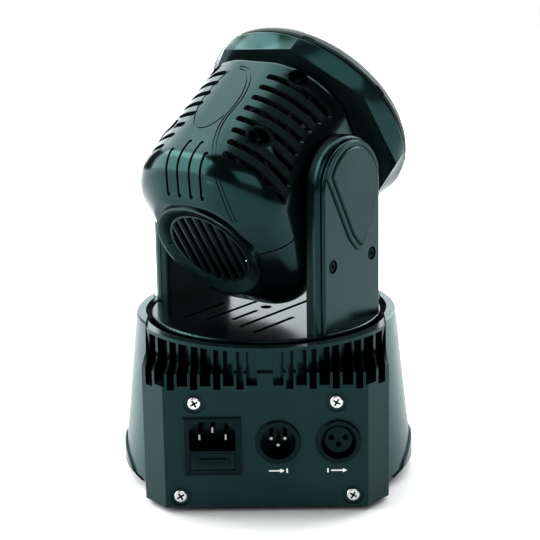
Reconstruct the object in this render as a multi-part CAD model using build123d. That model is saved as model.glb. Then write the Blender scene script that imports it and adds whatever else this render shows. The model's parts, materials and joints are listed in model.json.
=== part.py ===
from build123d import *
import math
import os

os.makedirs("parts", exist_ok=True)

# ---------------------------------------------------------------- driving sizes (mm, degrees)
BODY_W = 47.0            # half width of the head; arms, turntable and crown follow it
ARM_GAP = 1.6            # air between head and arm
ARM_HALF_T = 5.4         # inner arm half
BAND_T = 4.0             # rounded band of the outer half
PLATE_T = 2.0            # face plate of the outer half
TABLE_MARGIN = 5.3       # turntable edge beyond the arms
RIM_GAP = 3.1            # ring gap round the turntable
RIM_T = 1.8              # inner wall of the crown
RIB_DEEP = 3.4           # crown ribs out from that wall
FLARE = 8.4              # skirt out from the crown

PAN_REST = 36.8          # yoke turned this much about the pan axis at rest
TILT_REST = 33.5         # beam elevation at rest
PIVOT_Z = 168.5          # height of the tilt axis

WALL = 2.2               # moulded wall
GAP = 0.3                # smallest air gap between bodies that move
SEAT = 0.05              # play between pieces that are fitted together
RUN = 0.05               # radial play of a shaft in its bearing

FOOT_H = 3.0             # base
FOOT_R = 7.0
ARM_IN = BODY_W + ARM_GAP
ARM_SEAM = ARM_IN + ARM_HALF_T
ARM_EDGE = ARM_SEAM + BAND_T
ARM_OUT = ARM_EDGE + PLATE_T
TABLE_R = ARM_OUT + TABLE_MARGIN
RIM_IN = TABLE_R + RIM_GAP
RECESS_R = RIM_IN + RIM_T
CROWN_R = RECESS_R + RIB_DEEP
SKIRT_R = CROWN_R + FLARE
BOX_X = CROWN_R - 7.6    # base body, half sizes
BOX_Y = CROWN_R + 2.5
CH_X = BOX_X - 11.8      # its cut corners
CH_Y = BOX_Y - 13.8
LEDGE_Z = 78.0
CROWN_TOP = 90.8
RIM_TOP = 93.2
CAVITY_TOP = 66.5
SKIRT_Z = 14.5

PAD_HALF = 3.5           # crown ribs
RIB_PITCH = 12.2
RIB_WIDE = 7.0
RIB_T = 1.4
RECESS_TOP = CROWN_TOP - 2.0
RECESS_WIDE_Z = 71.2
RECESS_NARROW_Z = 69.2

PANEL_T = 2.0            # connector panel and control panel
PANEL_TOP = 67.2
PANEL_LIP = 5.0
SCREW_TOP = (CH_X - 16.6, 61.8)
SCREW_LOW = (CH_X - 8.1, 9.6)
SCREW_HEAD_R = 3.65
SCREW_POCKET_R = 5.75
SCREW_SHANK_R = 1.5

INLET_X = CH_X - 25.8    # mains inlet and data sockets
INLET_Z = 43.6
INLET_W = 31.0
INLET_LOW = 21.6
INLET_HIGH = 53.9
C14_W = 24.5
C14_H = 16.4
C14_DEEP = 15.0
DATA_Z = 39.7
DATA_IN_X = -6.4
DATA_OUT_X = 15.7 - CH_X
DATA_R = 12.1
DATA_BORE = 9.4
DATA_DEEP = 12.0
DATA_PIN_R = 1.2

DECK_Z = 78.0            # pan drive
DECK_T = 2.0
DECK_R = RIM_IN - 0.8
POST_X = 46.0
POST_Y = 40.0
POST_R = 4.5
HANG_X = 24.0            # threaded bosses for a hanging bracket
HANG_Y = 44.0
HANG_R = 3.0
AXLE_R = 12.0
BEARING_R = 19.0
PULLEY_Z = 83.0
BELT_W = 4.5
PAN_PULLEY_R = 30.0
MOTOR_PULLEY_R = 6.0
MOTOR_Y = -42.0
BELT_T = 1.2

TABLE_TOP = 92.3         # yoke
TABLE_T = 3.2
ARM_HALF = 28.6
ARM_TOP = 28.2
ARM_ROUND = 2.6
PLATE_IN = 2.3
ARM_SCREW_Y = 18.5
ARM_SCREW_DZ = 40.0
CAP_HALF = 24.0
CAP_CORNER_DZ = 8.5
CAP_TOP_DZ = 25.6
CAP_TIP_Y = -6.5
CAP_TIP_DZ = -38.0
CAP_RIM_W = 2.6
CAP_RISE = 1.1
TILT_AXLE_R = 8.0
TILT_PULLEY_R = 15.0
TILT_MOTOR_PULLEY_R = 6.0
BUSH_R = TILT_AXLE_R + 3.0
BUSH_IN = BODY_W - 4.0
PULLEY_X1 = BUSH_IN - 1.6
PULLEY_X0 = PULLEY_X1 - 4.2
AXLE_IN = PULLEY_X0 - 0.8
MOUNT_X = PULLEY_X0 - 2.7

BODY_H_FRONT = 57.2      # head, distances along the beam measured from the tilt axis
BODY_H_REAR = 55.0
BODY_ROUND = 38.0
BODY_FRONT = 34.0
BODY_REAR = -59.0
SHOULDER_S = 31.0
SHOULDER_DROP = 1.8
NECK_IN = 6.0
CORNER_S = -47.0
REAR_W = 28.5            # flat rear face, half sizes
REAR_H = 33.5
REAR_ROUND = 18.0
RIM_R = 32.7
RIM_S = -60.6
GRILLE_R = 25.0
GRILLE_RING = 1.2
GRILLE_BAR = 2.6
GRILLE_PITCH = 6.2
BEZEL_REAR = 40.0
BEZEL_TURN = -4.6
BEZEL_R = 62.6
BEZEL_FRONT = 48.8
RING_FRONT = 61.0
LENS_PLATE_R = BEZEL_R - 10.6
LENS_R = 10.5
LENS_PITCH = 31.0
FAN_HALF = 25.0
FAN_BACK = BODY_REAR + WALL
FAN_T = 13.0
FAN_BORE = FAN_HALF - 1.2
FAN_HUB = 10.0


# ---------------------------------------------------------------- helpers
def box(x0, x1, y0, y1, z0, z1):
    return Pos((x0 + x1) / 2, (y0 + y1) / 2, (z0 + z1) / 2) * Box(x1 - x0, y1 - y0, z1 - z0)


def rod(r, z0, z1, x=0.0, y=0.0):
    return Pos(x, y, (z0 + z1) / 2) * Cylinder(r, z1 - z0)


def rod_x(r, x0, x1, y=0.0, z=0.0):
    return Pos((x0 + x1) / 2, y, z) * Rot(0, 90, 0) * Cylinder(r, x1 - x0)


def rod_y(r, y0, y1, x=0.0, z=0.0):
    return Pos(x, (y0 + y1) / 2, z) * Rot(90, 0, 0) * Cylinder(r, y1 - y0)


def pipe(ro, ri, z0, z1, x=0.0, y=0.0):
    return rod(ro, z0, z1, x, y) - rod(ri, z0 - 1, z1 + 1, x, y)


def pipe_y(ro, ri, y0, y1, x=0.0, z=0.0):
    return rod_y(ro, y0, y1, x, z) - rod_y(ri, y0 - 1, y1 + 1, x, z)


def fuse(items):
    items = list(items)
    whole = items[0]
    if len(items) > 1:
        whole = whole.fuse(*items[1:])
    return whole


def slab(points, axis, lo, hi):
    """Prism of a closed outline. axis x: points are (y, z); axis z: points are (x, y)."""
    outline = make_face(Polyline(*points, close=True))
    if axis == "x":
        outline = Plane.YZ * outline
        return Pos(lo, 0, 0) * extrude(outline, hi - lo, dir=(1, 0, 0))
    return Pos(0, 0, lo) * extrude(outline, hi - lo, dir=(0, 0, 1))


def spun(points):
    """Solid of revolution about Z from (r, z) points."""
    return revolve(Plane.XZ * make_face(Polyline(*points, close=True)), Axis.Z)


def cross(head_r, depth):
    """Cross recess tool at the origin, cutting down from z = 0."""
    arm = head_r * 1.15
    bar = box(-arm / 2, arm / 2, -0.45, 0.45, -depth, 0.5)
    return bar + Rot(0, 0, 90) * bar


def screw(head_r, head_h, shank_r, length):
    """Pan head screw standing on z = 0 with its shank below."""
    head = rod(head_r, 0, head_h)
    head = fillet(head.faces().sort_by(Axis.Z)[-1].edges(), head_h * 0.55)
    return head + rod(shank_r, -length, 0.1) - Pos(0, 0, head_h) * cross(head_r, head_h * 0.7)


def along_x(sketch, lo, hi):
    """Prism along X of a sketch whose X and Y stand for world Y and Z."""
    return Pos(lo, 0, 0) * extrude(Plane.YZ * sketch, hi - lo, dir=(1, 0, 0))


def mirror_x(shape):
    return mirror(shape, Plane.YZ)


YOKE = Rot(0, 0, -PAN_REST)
HEAD = YOKE * Pos(0, 0, PIVOT_Z) * Rot(-TILT_REST, 0, 0)


def save(name, shape):
    solids = [s for s in shape.solids() if s.volume > 0.01]
    whole = solids[0] if len(solids) == 1 else Compound(solids)
    export_step(whole, "parts/" + name + ".step")


# ---------------------------------------------------------------- base: housings
def footprint(inset):
    k = inset * math.tan(math.radians(22.5))
    x = BOX_X - inset
    y = BOX_Y - inset
    cx = CH_X - k
    cy = CH_Y - k
    return [(x, 0), (x, cy), (cx, y), (-cx, y), (-x, cy), (-x, 0)]


def crown_recesses():
    cells = []
    pitch_x = PAD_HALF
    for _ in range(5):
        wide = (pitch_x + RIB_T / 2, pitch_x + RIB_WIDE - RIB_T / 2, RECESS_WIDE_Z)
        thin = (pitch_x + RIB_WIDE + RIB_T / 2, pitch_x + RIB_PITCH - RIB_T / 2, RECESS_NARROW_Z)
        for x0, x1, low in (wide, thin):
            cells.append(box(x0, x1, 5, BOX_Y + 5, low, RECESS_TOP))
            cells.append(box(-x1, -x0, 5, BOX_Y + 5, low, RECESS_TOP))
        pitch_x += RIB_PITCH
    return cells


def housing():
    """Half base housing on the +Y side, open towards Y = 0."""
    shell = slab(footprint(0), "z", FOOT_H, LEDGE_Z)
    crown = rod(CROWN_R, CAVITY_TOP, CROWN_TOP) & box(-BOX_X, BOX_X, 0, 90, 0, 200)
    shell = shell + crown
    shell = shell - slab(footprint(WALL), "z", 0, CAVITY_TOP) - rod(RIM_IN, CAVITY_TOP - 1, 200)
    shell = shell - box(-BOX_X - 1, BOX_X + 1, -1, SEAT / 2, 0, 200)
    tool = fuse(crown_recesses()) - rod(RECESS_R, 0, 200)
    shell = shell - tool
    # thicker frame behind the panel with screw bosses
    frame = box(-CH_X - 2, CH_X + 2, BOX_Y - PANEL_T - 2.4, BOX_Y - 1, FOOT_H + 3.1, PANEL_TOP)
    frame = frame & slab(footprint(0.5), "z", 0, 90)
    frame = frame - box(-CH_X + PANEL_LIP, CH_X - PANEL_LIP, 0, 90, FOOT_H + 7, PANEL_TOP - 4)
    bosses = []
    for x, z in (SCREW_TOP, SCREW_LOW):
        for sign in (-1, 1):
            bosses.append(rod_y(4.4, BOX_Y - PANEL_T - 9, BOX_Y - PANEL_T, sign * x, z))
    bosses = fuse(bosses) & box(-90, 90, 0, 90, FOOT_H + 3.2, 90)
    window = box(-CH_X + PANEL_LIP, CH_X - PANEL_LIP, BOX_Y - 5, 90, FOOT_H + 7, PANEL_TOP - 4)
    shell = shell - window + frame + bosses
    shell = shell - box(-CH_X, CH_X, BOX_Y - 3, 90, 0, FOOT_H + 3.1)
    shell = shell - box(-CH_X, CH_X, BOX_Y - PANEL_T, 90, 0, PANEL_TOP)
    for x, z in (SCREW_TOP, SCREW_LOW):
        for sign in (-1, 1):
            shell = shell - rod_y(SCREW_SHANK_R, BOX_Y - 20, 90, sign * x, z)
    return shell


rear_housing = housing()
front_housing = Rot(0, 0, 180) * rear_housing
save("base_rear_housing", rear_housing)
save("base_front_housing", front_housing)


def side_cover():
    cone = [
        (0, RIM_TOP),
        (CROWN_R - 0.8, RIM_TOP),
        (CROWN_R, RIM_TOP - 0.8),
        (SKIRT_R, SKIRT_Z),
        (SKIRT_R, FOOT_H + 4),
        (SKIRT_R - 2.5, FOOT_H + 0.5),
        (0, FOOT_H + 0.5),
    ]
    hollow = [
        (0, RIM_TOP - 2.6),
        (CROWN_R - WALL - 0.1, RIM_TOP - 2.6),
        (SKIRT_R - WALL, SKIRT_Z),
        (SKIRT_R - WALL, FOOT_H + 2.5),
        (0, FOOT_H + 2.5),
    ]
    collar = pipe(RECESS_R, RIM_IN, CAVITY_TOP, RIM_TOP)
    shell = spun(cone) - spun(hollow) - rod(RIM_IN, CAVITY_TOP - 1, 200) + collar
    keep = box(BOX_X + SEAT, 100, -60, 60, 0, 200)
    shell = shell & keep
    ribs = []
    for y in (-22, 0, 22):
        rib = box(BOX_X + SEAT, BOX_X + 12, y - 0.9, y + 0.9, FOOT_H + 1, CAVITY_TOP - 4)
        ribs.append(rib)
    return shell + (fuse(ribs) & spun(cone))


def side_trim():
    band = [
        (SKIRT_R + SEAT, 21.5),
        (SKIRT_R + 1.0, 18.5),
        (SKIRT_R + 1.2, SKIRT_Z),
        (SKIRT_R + 1.2, FOOT_H + 4),
        (SKIRT_R - 1.4, FOOT_H + 0.5),
        (SKIRT_R - 2.5 + SEAT, FOOT_H + 0.5),
        (SKIRT_R + SEAT, FOOT_H + 4),
        (SKIRT_R + SEAT, SKIRT_Z),
    ]
    ring = spun(band)
    lens = rod_x(60, BOX_X + 1, 100, 0, 18 - 60)
    return ring & lens & box(BOX_X, 100, -60, 60, 0, 60)


cover = side_cover()
save("side_cover_left", cover)
save("side_cover_right", mirror_x(cover))
trim = side_trim()
save("side_trims", Compound(trim.solids() + mirror_x(trim).solids()))

# ---------------------------------------------------------------- base: tray and feet
tray_half = slab(footprint(WALL + SEAT), "z", FOOT_H, FOOT_H + 3)
tray = tray_half + Rot(0, 0, 180) * tray_half
posts = []
for px in (-POST_X, POST_X):
    for py in (-POST_Y, POST_Y):
        posts.append(rod(POST_R, FOOT_H + 2, DECK_Z, px, py))
tray = tray.fuse(*posts)
for px in (-HANG_X, HANG_X):
    for py in (-HANG_Y, HANG_Y):
        tray = tray + rod(6, FOOT_H + 2, FOOT_H + 8, px, py)
        tray = tray - rod(HANG_R, 0, FOOT_H + 7, px, py)
for px in (-POST_X, POST_X):
    for py in (-POST_Y, POST_Y):
        tray = tray - rod(1.5, DECK_Z - 12, DECK_Z + 1, px, py)
for k in range(-3, 4):
    tray = tray - box(-14, 14, k * 6 - 1, k * 6 + 1, 0, FOOT_H + 4)
save("base_tray", tray)

feet = []
for px in (-44, 44):
    for py in (-56, 56):
        pad = rod(FOOT_R, 0, FOOT_H, px, py)
        pad = fillet(pad.faces().sort_by(Axis.Z)[0].edges(), 0.8)
        feet.append(pad)
save("rubber_feet", Compound(feet))

# ---------------------------------------------------------------- base: rear panel and sockets
def panel_blank():
    plate = box(-CH_X + SEAT, CH_X - SEAT, BOX_Y - PANEL_T, BOX_Y, FOOT_H, PANEL_TOP - SEAT)
    for x, z in (SCREW_TOP, SCREW_LOW):
        for sign in (-1, 1):
            plate = plate - rod_y(SCREW_POCKET_R, BOX_Y - 1.0, BOX_Y + 2, sign * x, z)
            plate = plate - rod_y(SCREW_SHANK_R, BOX_Y - 5, BOX_Y + 2, sign * x, z)
    return plate


def panel_screws():
    made = []
    for x, z in (SCREW_TOP, SCREW_LOW):
        for sign in (-1, 1):
            one = screw(SCREW_HEAD_R, 2.1, SCREW_SHANK_R, 8)
            made.append(Pos(sign * x, BOX_Y - 1.0, z) * Rot(-90, 0, 0) * Rot(0, 0, 30 * sign) * one)
    return made


INLET_CZ = (INLET_LOW + INLET_HIGH) / 2
inlet_cut = box(INLET_X - 14, INLET_X + 14, 60, 90, INLET_LOW + 1.2, INLET_HIGH - 1.2)
rear_panel = panel_blank() - inlet_cut
for x in (DATA_IN_X, DATA_OUT_X):
    rear_panel = rear_panel - rod_y(DATA_R - 1.6, 60, 90, x, DATA_Z)
save("rear_panel", rear_panel)

flange = box(INLET_X - INLET_W / 2, INLET_X + INLET_W / 2, BOX_Y, BOX_Y + 1.4, INLET_LOW, INLET_HIGH)
flange = chamfer(flange.faces().sort_by(Axis.Y)[-1].edges(), 0.6)
can = box(INLET_X - 13.9, INLET_X + 13.9, BOX_Y - 24, BOX_Y + 0.5, INLET_LOW + 1.3, INLET_HIGH - 1.3)
inlet = flange + can
c14 = [
    (INLET_X - C14_W / 2, INLET_Z - C14_H / 2),
    (INLET_X + C14_W / 2, INLET_Z - C14_H / 2),
    (INLET_X + C14_W / 2, INLET_Z + C14_H / 2 - 4.5),
    (INLET_X + C14_W / 2 - 5.5, INLET_Z + C14_H / 2),
    (INLET_X - C14_W / 2 + 5.5, INLET_Z + C14_H / 2),
    (INLET_X - C14_W / 2, INLET_Z + C14_H / 2 - 4.5),
]
c14_face = Plane.XZ * make_face(Polyline(*c14, close=True))
c14_tool = Pos(0, BOX_Y + 3, 0) * extrude(c14_face, C14_DEEP + 3, dir=(0, -1, 0))
inlet = inlet - c14_tool
FUSE_W = 24.0
FUSE_LOW = 24.6
FUSE_HIGH = 34.2
FUSE_DEEP = 17.0
fuse_hole = box(INLET_X - FUSE_W / 2, INLET_X + FUSE_W / 2, BOX_Y - FUSE_DEEP, 90, FUSE_LOW, FUSE_HIGH)
inlet = inlet - fuse_hole
PIN_BACK = BOX_Y - 30
PIN_SPOTS = ((-7.0, -1.6), (0.0, 2.4), (7.0, -1.6))
for dx, dz in PIN_SPOTS:
    z = INLET_Z + dz
    inlet = inlet - box(INLET_X + dx - 1, INLET_X + dx + 1, 40, BOX_Y - 10, z - 2, z + 2)
save("mains_inlet", inlet)
pins = []
for dx, dz in PIN_SPOTS:
    z = INLET_Z + dz
    blade = box(INLET_X + dx - 1, INLET_X + dx + 1, PIN_BACK, BOX_Y - 2, z - 2, z + 2)
    blade = chamfer(blade.faces().sort_by(Axis.Y)[-1].edges(), 0.5)
    pins.append(blade)

g = GAP + 0.05
drawer = box(
    INLET_X - FUSE_W / 2 + g, INLET_X + FUSE_W / 2 - g,
    BOX_Y - FUSE_DEEP + 0.6, BOX_Y + 1.2, FUSE_LOW + g, FUSE_HIGH - g)
drawer = drawer - box(
    INLET_X - 10.5, INLET_X + 10.5, BOX_Y - FUSE_DEEP + 2.2, BOX_Y - 1.5, FUSE_LOW + 2, FUSE_HIGH + 1)
drawer = drawer + rod_x(2.4, INLET_X - 11, INLET_X + 11, BOX_Y - 9.5, FUSE_LOW + 4.7)
grip = box(INLET_X - 7, INLET_X + 7, BOX_Y + 0.2, BOX_Y + 3, FUSE_HIGH - 3.6, FUSE_HIGH - 2.2)
drawer = drawer - grip
save("fuse_drawer", drawer)


def socket_shell(x):
    body = rod_y(DATA_R, BOX_Y, BOX_Y + 1.6, x, DATA_Z)
    body = fillet(body.faces().sort_by(Axis.Y)[-1].edges(), 0.9)
    return body + rod_y(DATA_R - 1.65, BOX_Y - 20, BOX_Y + 0.5, x, DATA_Z)


data_in = socket_shell(DATA_IN_X) - rod_y(DATA_BORE, BOX_Y - DATA_DEEP, BOX_Y + 3, DATA_IN_X, DATA_Z)
DATA_PINS = ((-3.7, 1.2), (3.7, 1.2), (0.0, -2.6))
data_pins = []
for dx, dz in DATA_PINS:
    data_in = data_in - rod_y(DATA_PIN_R + SEAT, 40, 90, DATA_IN_X + dx, DATA_Z + dz)
    pin = rod_y(DATA_PIN_R, BOX_Y - 24, BOX_Y - 2, DATA_IN_X + dx, DATA_Z + dz)
    data_pins.append(fillet(pin.faces().sort_by(Axis.Y)[-1].edges(), 0.6))
data_in = data_in - rod_y(1.1, 0, 90, DATA_IN_X, DATA_Z + 12.6)
save("data_in_socket", data_in)
save("socket_pins", Compound(pins + data_pins))

data_out = socket_shell(DATA_OUT_X)
data_out = data_out - rod_y(DATA_BORE, BOX_Y - DATA_DEEP, BOX_Y + 3, DATA_OUT_X, DATA_Z)
data_out = data_out + rod_y(7.2, BOX_Y - DATA_DEEP - 1, BOX_Y - 2.5, DATA_OUT_X, DATA_Z)
for dx, dz in DATA_PINS:
    data_out = data_out - rod_y(DATA_PIN_R + 0.3, BOX_Y - 14, 90, DATA_OUT_X + dx, DATA_Z + dz)
save("data_out_socket", data_out)

# ---------------------------------------------------------------- base: front control panel
DISPLAY_W = 46.0
DISPLAY_H = 17.0
DISPLAY_Z = 46.0
BUTTON_R = 3.4
BUTTON_Z = 24.0
BUTTON_XS = (-27.0, -9.0, 9.0, 27.0)
BUTTON_NAMES = ("button_menu", "button_down", "button_up", "button_enter")
TRAVEL = 0.8
front_panel = panel_blank()
hole = box(-DISPLAY_W / 2, DISPLAY_W / 2, 60, 90, DISPLAY_Z - DISPLAY_H / 2, DISPLAY_Z + DISPLAY_H / 2)
front_panel = front_panel - hole
for x in BUTTON_XS:
    front_panel = front_panel - rod_y(BUTTON_R + GAP + 0.05, 60, 90, x, BUTTON_Z)
HALF_TURN = Rot(0, 0, 180)
save("front_panel", HALF_TURN * front_panel)
save("panel_screws", Compound(panel_screws() + [HALF_TURN * one for one in panel_screws()]))
window = box(
    -DISPLAY_W / 2 + SEAT, DISPLAY_W / 2 - SEAT, BOX_Y - PANEL_T, BOX_Y - 0.2,
    DISPLAY_Z - DISPLAY_H / 2 + SEAT, DISPLAY_Z + DISPLAY_H / 2 - SEAT)
rim_w = box(
    -DISPLAY_W / 2 - 2, DISPLAY_W / 2 + 2, BOX_Y - PANEL_T - 1.2, BOX_Y - PANEL_T,
    DISPLAY_Z - DISPLAY_H / 2 - 2, DISPLAY_Z + DISPLAY_H / 2 + 2)
save("display_window", HALF_TURN * (window + rim_w))
BOARD_Y = BOX_Y - PANEL_T - 8
board = box(-44, 44, BOARD_Y - 1.6, BOARD_Y, 15, 56)
module = box(-22, 22, BOARD_Y, BOX_Y - PANEL_T - 1.2, DISPLAY_Z - 8, DISPLAY_Z + 8)
board_parts = [module]
for x in BUTTON_XS:
    base_sw = box(x - 3, x + 3, BOARD_Y, BOARD_Y + 3.0, BUTTON_Z - 3, BUTTON_Z + 3)
    board_parts.append(base_sw)
for x in (-32, 32):
    board_parts.append(rod_y(2.6, BOARD_Y, BOX_Y - PANEL_T, x, 34))
board = board.fuse(*board_parts)
save("display_board", HALF_TURN * board)
for name, x in zip(BUTTON_NAMES, BUTTON_XS):
    knob = rod_y(BUTTON_R, BOX_Y - PANEL_T - 1.0, BOX_Y + 1.6, x, BUTTON_Z)
    knob = fillet(knob.faces().sort_by(Axis.Y)[-1].edges(), 0.7)
    knob = knob + rod_y(BUTTON_R + 1.2, BOX_Y - PANEL_T - 1.6, BOX_Y - PANEL_T - 0.4, x, BUTTON_Z)
    knob = knob + rod_y(1.6, BOARD_Y + 3.0 + TRAVEL + GAP, BOX_Y - PANEL_T - 1, x, BUTTON_Z)
    save(name, HALF_TURN * knob)

# ---------------------------------------------------------------- base: electronics and pan drive
power_z = FOOT_H + 3
pcb = box(-40, 40, -34, 24, power_z + 4, power_z + 5.6)
standoffs = []
for px in (-36, 36):
    for py in (-24, 14):
        standoffs.append(rod(2.6, power_z, power_z + 4, px, py))
save("power_board", pcb.fuse(*standoffs))
pz = power_z + 5.6
kit = [box(-24, 4, -22, 6, pz, pz + 22), box(10, 38, -30, -14, pz, pz + 12)]
kit += [rod(6, pz, pz + 20, 18, -2), rod(6, pz, pz + 20, 31, -2), rod(4, pz, pz + 12, 12, 12)]
kit += [box(-38, -28, -28, 16, pz, pz + 16), box(20, 36, 12, 21, pz, pz + 9)]
kit += [box(-22, -6, 12, 22, pz, pz + 8), rod(3, pz, pz + 9, 4, 16)]
kit[0] = kit[0] + box(-18, -2, -24, 8, pz + 3, pz + 19)
save("power_components", Compound(kit))

deck = rod(DECK_R, DECK_Z, DECK_Z + DECK_T) & box(-BOX_X + 3, BOX_X - 3, -90, 90, 0, 200)
deck = deck - rod(BEARING_R + SEAT, 0, 200)
for k in range(6):
    a = math.radians(40 + 60 * k)
    if abs(math.sin(a)) < 0.8:
        deck = deck - rod(7, 0, 200, 40 * math.cos(a), 40 * math.sin(a) + 3)
deck = deck - rod(12, 0, 200, 0, MOTOR_Y)
for px in (-15.5, 15.5):
    for py in (-15.5, 15.5):
        deck = deck - rod(1.6, 0, 200, px, MOTOR_Y + py)
for px in (-POST_X, POST_X):
    for py in (-POST_Y, POST_Y):
        deck = deck - rod(1.5, 0, 200, px, py)
save("base_deck", deck)

deck_screws = []
for px in (-POST_X, POST_X):
    for py in (-POST_Y, POST_Y):
        deck_screws.append(Pos(px, py, DECK_Z + DECK_T) * screw(3.2, 1.6, 1.5, 10))
for px in (-15.5, 15.5):
    for py in (-15.5, 15.5):
        deck_screws.append(Pos(px, MOTOR_Y + py, DECK_Z + DECK_T) * screw(2.8, 1.4, 1.6, 5))
save("deck_screws", Compound(deck_screws))


def stepper(half, length, boss_r, shaft_r, shaft_len):
    """Square stepper with its mounting face at z = 0, body below, shaft up."""
    body = box(-half, half, -half, half, -length, 0)
    body = chamfer(body.edges().filter_by(Axis.Z), half * 0.16)
    groove = box(-half - 1, half + 1, -half - 1, half + 1, -length + 8, -8)
    core = box(-half + 0.7, half - 0.7, -half + 0.7, half - 0.7, -length, 0)
    body = body - (groove - core)
    return body + rod(boss_r, 0, 1.8) - rod(shaft_r + RUN, -length / 2, 3)


MOTOR_HALF = 21.0
motor = stepper(MOTOR_HALF, 33, 11, 2.5, 18)
for px in (-15.5, 15.5):
    for py in (-15.5, 15.5):
        motor = motor - rod(1.6, -5, 1, px, py)
save("pan_motor", Pos(0, MOTOR_Y, DECK_Z) * motor)


def pulley(r, bore, z0, z1, teeth, flange=1.2):
    wheel = rod(r, z0, z1)
    cuts = []
    for k in range(teeth):
        a = 2 * math.pi * k / teeth
        cuts.append(rod(0.6, z0 + 0.8, z1 - 0.8, r * math.cos(a), r * math.sin(a)))
    wheel = wheel - fuse(cuts)
    wheel = wheel + rod(r + flange, z0 - 0.8, z0) + rod(r + flange, z1, z1 + 0.8)
    return wheel - rod(bore, z0 - 5, z1 + 5) if bore else wheel


motor_wheel = pulley(MOTOR_PULLEY_R, 0, PULLEY_Z + 0.4, PULLEY_Z + BELT_W + 0.4, 12)
shaft = rod(2.5, DECK_Z - 15, PULLEY_Z + 0.5)
save("pan_motor_pulley", Pos(0, MOTOR_Y, 0) * (motor_wheel + shaft))


def belt(r0, y0, r1, y1, z0, z1, t):
    """Flat loop round two circles whose centres lie on the Y axis."""
    def hull(a, b):
        d = abs(y1 - y0)
        sign = 1 if y1 > y0 else -1
        s = (a - b) / d
        c = math.sqrt(1 - s * s)
        side = [
            (a * c, y0 + sign * a * s), (b * c, y1 + sign * b * s),
            (-b * c, y1 + sign * b * s), (-a * c, y0 + sign * a * s),
        ]
        shape = Pos(0, y0) * Circle(a) + Pos(0, y1) * Circle(b)
        return shape + make_face(Polyline(*side, close=True))
    ring = hull(r0 + t, r1 + t) - hull(r0, r1)
    return Pos(0, 0, z0) * extrude(ring, z1 - z0, dir=(0, 0, 1))


belt_z0 = PULLEY_Z + 0.9
belt_z1 = PULLEY_Z + BELT_W - 0.1
pan_belt = belt(
    PAN_PULLEY_R + GAP, 0, MOTOR_PULLEY_R + GAP, MOTOR_Y, belt_z0, belt_z1, BELT_T)
save("pan_belt", pan_belt)
bearing = pipe(BEARING_R, AXLE_R + RUN, DECK_Z - 6, DECK_Z + 3.6)
bearing = bearing + pipe(BEARING_R + 1.5, BEARING_R - 1, DECK_Z - 2, DECK_Z)
bearing = bearing - pipe(BEARING_R - 2.5, AXLE_R + 2, DECK_Z + 3.0, DECK_Z + 5)
save("pan_bearing", bearing)

# ---------------------------------------------------------------- yoke: turntable and pan axle
TABLE_LOW = TABLE_TOP - TABLE_T


def groove(x, y0, y1, width, depth, top):
    length = y1 - y0
    shape = Rot(0, 0, 90) * SlotOverall(length, width)
    return Pos(x, (y0 + y1) / 2, top - depth) * extrude(shape, depth + 1, dir=(0, 0, 1))


table = rod(TABLE_R, TABLE_LOW, TABLE_TOP)
table = fillet(table.faces().sort_by(Axis.Z)[-1].edges(), 1.0)
table = table + pipe(TABLE_R, TABLE_R - 2.3, TABLE_LOW - 3.6, TABLE_LOW + 0.1)
grooves = []
for x, y0, y1 in ((25.0, 7.0, 43.0), (11.8, -39.0, 39.0), (0.0, 8.0, 31.0)):
    for sx in (-1, 1):
        for sy in (-1, 1):
            if (x == 0 and sx > 0) or (y0 < 0 and sy > 0):
                continue
            ya, yb = (y0, y1) if sy > 0 else (-y1, -y0)
            grooves.append(groove(sx * x, ya, yb, 2.6, 1.7, TABLE_TOP))
table = table - fuse(grooves)
table = table - rod(3.2, 0, 200)
save("turntable", YOKE * table)

axle = pipe(AXLE_R, AXLE_R - 3, DECK_Z - 11, TABLE_LOW)
axle = axle + pipe(AXLE_R + 14, AXLE_R - 1, PULLEY_Z + BELT_W + 0.8, TABLE_LOW)
save("pan_axle", YOKE * axle)
nut = extrude(RegularPolygon(16, 6), 4.6, dir=(0, 0, 1)) - rod(AXLE_R + SEAT, -1, 6)
save("pan_nut", YOKE * Pos(0, 0, DECK_Z - 11) * nut)
pan_wheel = pulley(PAN_PULLEY_R, AXLE_R + SEAT, PULLEY_Z, PULLEY_Z + BELT_W, 60)
for k in range(5):
    a = math.radians(72 * k)
    pan_wheel = pan_wheel - rod(5.5, 0, 200, 21 * math.cos(a), 21 * math.sin(a))
save("pan_pulley", YOKE * pan_wheel)


# ---------------------------------------------------------------- yoke: arms
def arm_outline(inset, low):
    half = ARM_HALF - inset
    foot = Pos(0, (low + PIVOT_Z) / 2) * Rectangle(2 * half, PIVOT_Z - low)
    return foot + Pos(0, PIVOT_Z) * Ellipse(half, ARM_TOP - inset)


SCREW_SPOTS = [(-ARM_SCREW_Y, PIVOT_Z - ARM_SCREW_DZ), (ARM_SCREW_Y, PIVOT_Z - ARM_SCREW_DZ)]


def softened(shape, radius):
    face = shape.faces().sort_by(Axis.X)[-1]
    return fillet([e for e in face.edges() if e.center().Z > TABLE_TOP + 1], radius)


arm_band = softened(along_x(arm_outline(0, TABLE_TOP), ARM_SEAM, ARM_EDGE), ARM_ROUND)
arm_plate = softened(along_x(arm_outline(PLATE_IN, TABLE_TOP), ARM_EDGE - 1.5, ARM_OUT), 1.2)
seam = along_x(arm_outline(PLATE_IN - 0.7, TABLE_TOP - 1), ARM_EDGE - 0.9, ARM_OUT)
arm_full = arm_band - seam + arm_plate
arm_outer = arm_full - along_x(arm_outline(WALL, TABLE_TOP + 3), ARM_SEAM - 1, ARM_EDGE - WALL - 0.9)
arm_outer = arm_outer - along_x(arm_outline(PLATE_IN + WALL, TABLE_TOP + 3), ARM_SEAM - 1, ARM_OUT - WALL)
arm_inner = along_x(arm_outline(0.25, TABLE_TOP), ARM_IN, ARM_SEAM)
inner_face = arm_inner.faces().sort_by(Axis.X)[0]
arm_inner = fillet([e for e in inner_face.edges() if e.center().Z > TABLE_TOP + 1], 1.6)
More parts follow.
